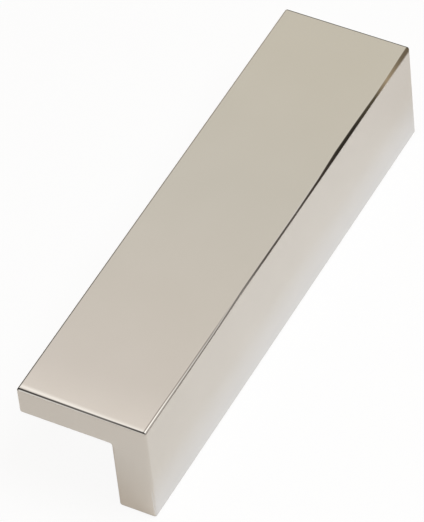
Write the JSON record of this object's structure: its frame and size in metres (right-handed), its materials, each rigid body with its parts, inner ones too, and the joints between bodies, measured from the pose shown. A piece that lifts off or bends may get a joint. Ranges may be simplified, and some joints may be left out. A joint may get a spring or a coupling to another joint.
{
  "type": "tab pull",
  "caption": "Solid L-section tab pull: a flat flange stands off a drawer or door front on one full-length leg, whose foot has blind tapped holes for screws from behind.",
  "frame": {"origin": "centre of the foot, the leg's flat face that lies against the drawer or door front, midway between the screw holes", "axes": "+X along the pull; +Y across it towards the leg's outer face, so the flange reaches back to -Y; +Z away from the drawer or door front, towards the flange's outer face"},
  "size_m": [0.1016, 0.0254, 0.0222],
  "materials": {
    "polished_nickel": "polished"
  },
  "bodies": {
    "root": {"pull_body": "polished_nickel"}
  },
  "joints": []
}
